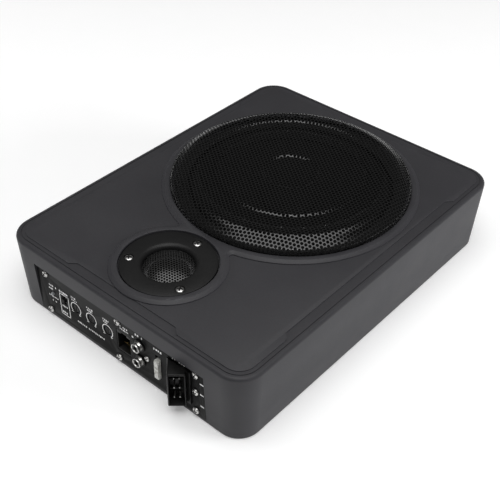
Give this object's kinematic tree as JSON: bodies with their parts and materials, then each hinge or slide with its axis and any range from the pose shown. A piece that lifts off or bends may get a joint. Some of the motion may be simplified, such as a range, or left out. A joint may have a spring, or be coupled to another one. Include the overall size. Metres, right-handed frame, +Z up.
{
  "type": "powered car subwoofer",
  "caption": "Flat under-seat powered subwoofer: moulded cabinet, woofer under a pressed perforated grille, small tweeter, and an amplifier control panel on one end.",
  "frame": {"origin": "centre of the flat bottom face", "axes": "+Z up, +Y along the cabinet away from the control panel, X across it"},
  "size_m": [0.264, 0.3565, 0.0836],
  "materials": {
    "shell": "fine moulded grain",
    "cover": "black powder coat",
    "screw": "bright zinc plate",
    "panel": "satin black",
    "grille": "black powder coat",
    "basket": "black stamped steel",
    "rubber": "matt moulded",
    "cone": "pressed fibre",
    "spider": "resin-stiffened weave",
    "copper": "enamelled wire",
    "steel": "zinc plated",
    "magnet": "ferrite",
    "trim": "satin",
    "dome": "coated weave",
    "black_plastic": "moulded",
    "pot": "moulded",
    "led": "clear lens",
    "fuse": "translucent",
    "board": "glass-epoxy laminate",
    "heat_sink": "extruded",
    "capacitor": "shrink sleeve"
  },
  "bodies": {
    "root": {"top_shell": "shell", "bottom_cover": "cover", "bottom_screw_1": "screw", "bottom_screw_2": "screw", "bottom_screw_3": "screw", "bottom_screw_4": "screw", "bottom_screw_5": "screw", "bottom_screw_6": "screw", "woofer_grille": "grille", "woofer_basket": "basket", "surround": "rubber", "spider": "spider", "top_plate": "steel", "magnet": "magnet", "t_yoke": "steel", "woofer_screw_1": "screw", "woofer_screw_2": "screw", "woofer_screw_3": "screw", "woofer_screw_4": "screw", "tweeter_trim_ring": "trim", "tweeter_mesh": "grille", "tweeter_magnet": "steel", "tweeter_screw_1": "screw", "tweeter_screw_2": "screw", "tweeter_screw_3": "screw", "control_panel": "panel", "panel_screw_1": "screw", "panel_screw_2": "screw", "panel_screw_3": "screw", "panel_screw_4": "screw", "panel_screw_5": "screw", "panel_screw_6": "screw", "panel_screw_7": "screw", "phono_screw": "screw", "level_potentiometer": "pot", "low_pass_potentiometer": "pot", "boost_potentiometer": "pot", "slide_switch_body": "steel", "power_led": "led", "remote_socket": "black_plastic", "phono_housing": "black_plastic", "phono_sleeve_1": "screw", "phono_sleeve_2": "screw", "fuse_holder": "black_plastic", "power_socket": "black_plastic", "power_pins": "screw", "circuit_board": "board", "heat_sink": "heat_sink", "inductor": "copper", "capacitor_1": "capacitor", "capacitor_2": "capacitor"},
    "cone_assembly": {"cone": "cone", "dust_cap": "cone", "voice_coil": "copper"},
    "tweeter_diaphragm": {"tweeter_dome": "dome"},
    "level_knob": {"level_knob": "black_plastic"},
    "low_pass_knob": {"low_pass_knob": "black_plastic"},
    "boost_knob": {"boost_knob": "black_plastic"},
    "switch_lever": {"slide_switch_lever": "black_plastic"},
    "fuse": {"fuse": "fuse"}
  },
  "joints": [
    {"name": "cone_travel", "type": "slide", "parent": "root", "child": "cone_assembly", "axis": [0, 0, 1], "range_m": [-0.005, 0.005], "stiffness_N_per_m": 1500, "deforming": ["surround", "spider"]},
    {"name": "tweeter_travel", "type": "slide", "parent": "root", "child": "tweeter_diaphragm", "axis": [0, 0, 1], "range_m": [-0.0004, 0.0004], "stiffness_N_per_m": 300},
    {"name": "level_turn", "type": "hinge", "parent": "root", "child": "level_knob", "pos_m": [-0.0516, -0.1695, 0.0285], "axis": [0, 1, 0], "range_deg": [-135, 135]},
    {"name": "low_pass_turn", "type": "hinge", "parent": "root", "child": "low_pass_knob", "pos_m": [-0.0328, -0.1695, 0.0285], "axis": [0, 1, 0], "range_deg": [-135, 135]},
    {"name": "boost_turn", "type": "hinge", "parent": "root", "child": "boost_knob", "pos_m": [-0.0134, -0.1695, 0.0285], "axis": [0, 1, 0], "range_deg": [-135, 135]},
    {"name": "switch_slide", "type": "slide", "parent": "root", "child": "switch_lever", "axis": [0, 0, 1], "range_m": [-0.0024, 0.0024]},
    {"name": "fuse_pull", "type": "slide", "parent": "root", "child": "fuse", "axis": [0, -1, 0], "range_m": [0, 0.03]}
  ]
}
